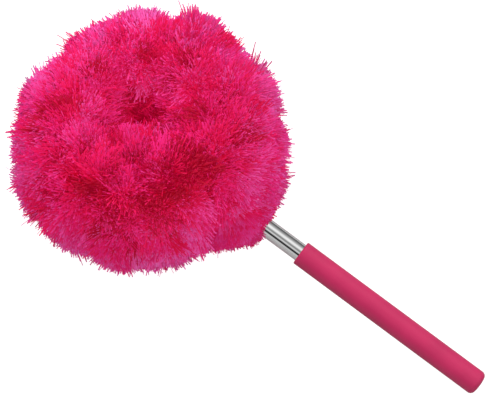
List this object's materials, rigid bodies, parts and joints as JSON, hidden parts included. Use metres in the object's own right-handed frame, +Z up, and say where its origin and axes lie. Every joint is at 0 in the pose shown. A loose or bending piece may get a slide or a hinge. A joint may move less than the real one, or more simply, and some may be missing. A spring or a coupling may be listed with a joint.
{
  "type": "telescopic duster",
  "caption": "Pink duster with a round bun of cut fibres on a bent wire ring, a telescopic steel pole and a rubber grip, lying on a table.",
  "frame": {"origin": "on the table, under the middle of the whole object", "axes": "+X from the bristle head towards the end of the grip, +Z up from the table"},
  "size_m": [0.4968, 0.254, 0.124],
  "materials": {
    "fibres": "satin",
    "sleeve_knit": "matte",
    "tie_plastic": "gloss",
    "sheath_plastic": "matte",
    "wire_steel": "satin",
    "ferrule_metal": "satin",
    "neck_plastic": "satin",
    "pin_steel": "satin",
    "plug_plastic": "matte",
    "core_plastic": "matte",
    "grip_rubber": "satin",
    "tube_steel": "polished",
    "bush_plastic": "matte",
    "shim_metal": "satin"
  },
  "bodies": {
    "handle": {"grip_sleeve": "grip_rubber", "grip_core": "core_plastic", "outer_tube": "tube_steel", "stop_plug": "plug_plastic"},
    "middle_section": {"middle_tube": "tube_steel", "middle_tube_bush": "bush_plastic", "middle_tube_shims": "shim_metal"},
    "inner_section": {"inner_tube": "tube_steel", "inner_tube_bush": "bush_plastic", "inner_tube_shims": "shim_metal"},
    "tip_slider": {"tip_tube_bush": "bush_plastic"},
    "head": {"tip_tube": "tube_steel", "tip_tube_shims": "shim_metal", "neck_pin": "pin_steel", "neck_socket": "neck_plastic", "wire_ferrule": "ferrule_metal", "core_wire": "wire_steel", "wire_sheath": "sheath_plastic", "knitted_sleeve": "sleeve_knit", "sleeve_ties": "tie_plastic", "head_fibres": "fibres"}
  },
  "joints": [
    {"name": "middle_slide", "type": "slide", "parent": "handle", "child": "middle_section", "axis": [-0.9846, 0, 0.1747], "range_m": [0, 0.1985]},
    {"name": "inner_slide", "type": "slide", "parent": "middle_section", "child": "inner_section", "axis": [-0.9846, 0, 0.1747], "range_m": [0, 0.199]},
    {"name": "tip_slide", "type": "slide", "parent": "inner_section", "child": "tip_slider", "axis": [-0.9846, 0, 0.1747], "range_m": [0, 0.1995]},
    {"name": "head_swivel", "type": "hinge", "parent": "tip_slider", "child": "head", "pos_m": [-0.01674, 0, 0.05733], "axis": [-0.9846, 0, 0.1747], "continuous": true}
  ]
}
